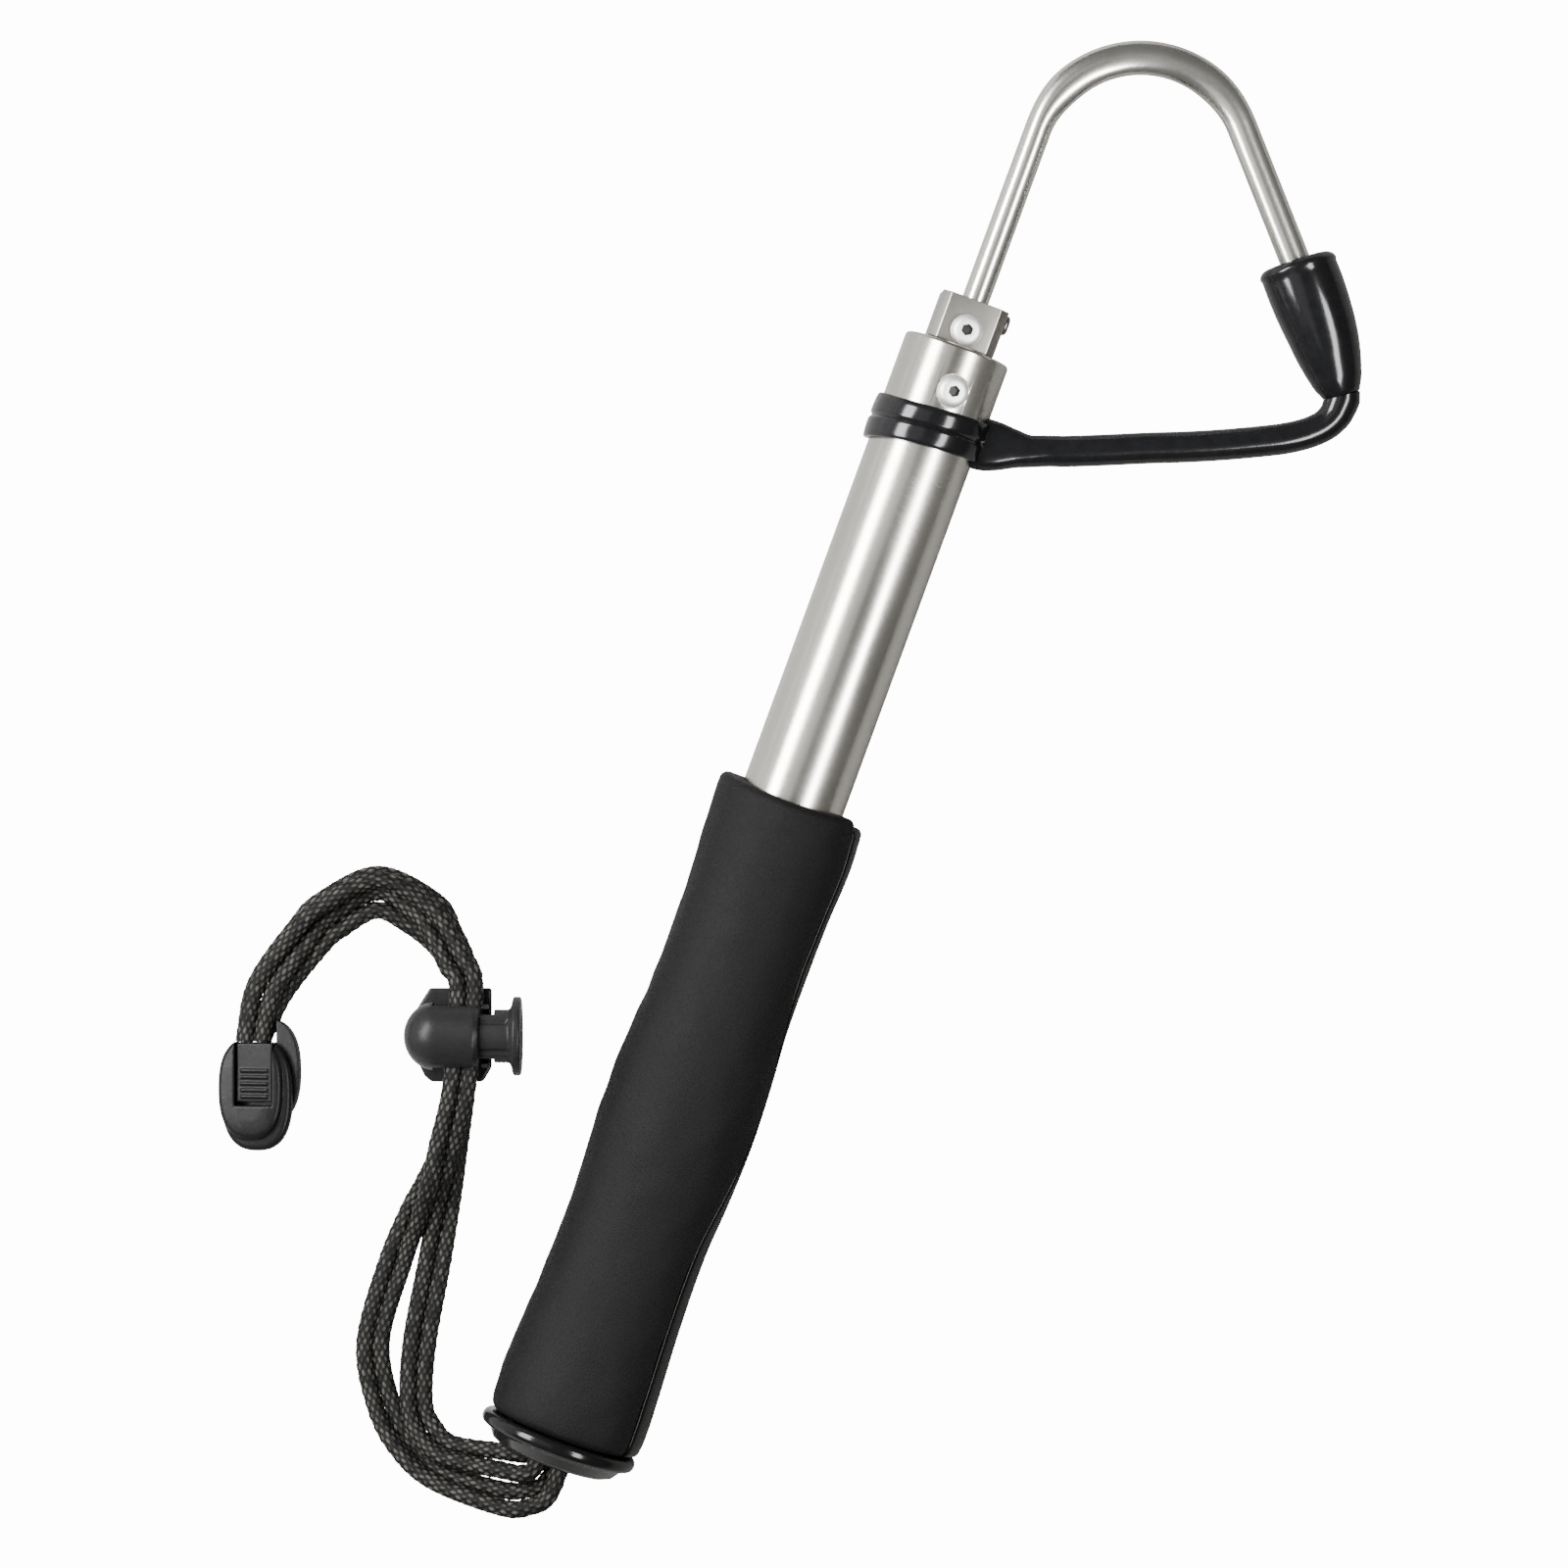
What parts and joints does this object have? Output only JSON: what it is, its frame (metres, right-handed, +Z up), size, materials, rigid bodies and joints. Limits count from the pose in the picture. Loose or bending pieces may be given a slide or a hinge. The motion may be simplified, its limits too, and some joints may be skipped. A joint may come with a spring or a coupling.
{
  "type": "fishing gaff",
  "caption": "Telescopic fishing gaff: steel hook on a sliding tube, foam grip, swinging point guard and a wrist cord with its lock and clip.",
  "frame": {"origin": "middle of the foot of the gaff's box, without its wrist cord, on the surface that it lies on", "axes": "+Y along the tube towards the hook, +X towards the hook's point, +Z up from the surface"},
  "size_m": [0.1994, 0.382, 0.038],
  "materials": {
    "tube_steel": "brushed along the tube",
    "head_steel": "brushed",
    "hook_steel": "polished",
    "screw_steel": "bright",
    "black_foam": "matte closed-cell foam",
    "black_gloss": "gloss",
    "guard_vinyl": "gloss, soft",
    "black_moulded": "satin moulded",
    "black_braid": "round braid",
    "white_nylon": "moulded"
  },
  "bodies": {
    "handle": {"outer_tube": "tube_steel", "outer_top_bush": "white_nylon", "end_cap": "black_gloss", "grip_foam": "black_foam", "grip_spine": "black_gloss", "cord_knot": "black_braid", "cord_strand_1": "black_braid", "cord_strand_2": "black_braid", "cord_strand_3": "black_braid", "cord_strand_4": "black_braid", "cord_lock_body": "black_moulded", "cord_lock_spring": "screw_steel", "clip_front_shell": "black_moulded", "clip_back_shell": "black_moulded", "clip_tongue": "black_moulded"},
    "middle": {"middle_tube": "tube_steel", "middle_bottom_bush": "white_nylon", "middle_top_bush": "white_nylon"},
    "head": {"inner_tube": "tube_steel", "inner_bottom_bush": "white_nylon", "head_collar": "head_steel", "collar_screw": "screw_steel", "hook_wire": "hook_steel", "guard_ring": "guard_vinyl", "hook_block": "head_steel", "block_front_screw": "screw_steel", "block_side_screw": "screw_steel"},
    "guard": {"guard_arm": "guard_vinyl", "guard_cone": "guard_vinyl"},
    "plunger": {"cord_lock_plunger": "black_moulded"}
  },
  "joints": [
    {"name": "middle_slide", "type": "slide", "parent": "handle", "child": "middle", "axis": [0, 1, 0], "range_m": [0, 0.2]},
    {"name": "head_slide", "type": "slide", "parent": "middle", "child": "head", "axis": [0, 1, 0], "range_m": [0, 0.2]},
    {"name": "guard_swing", "type": "hinge", "parent": "head", "child": "guard", "pos_m": [-0.01775, 0.08001, 0.019], "axis": [0, 0, 1], "range_deg": [-95, 0], "stiffness_Nm_per_rad": 0.08},
    {"name": "plunger_press", "type": "slide", "parent": "handle", "child": "plunger", "axis": [-0.9391, -0.3437, 0], "range_m": [0, 0.0025], "stiffness_N_per_m": 400}
  ]
}
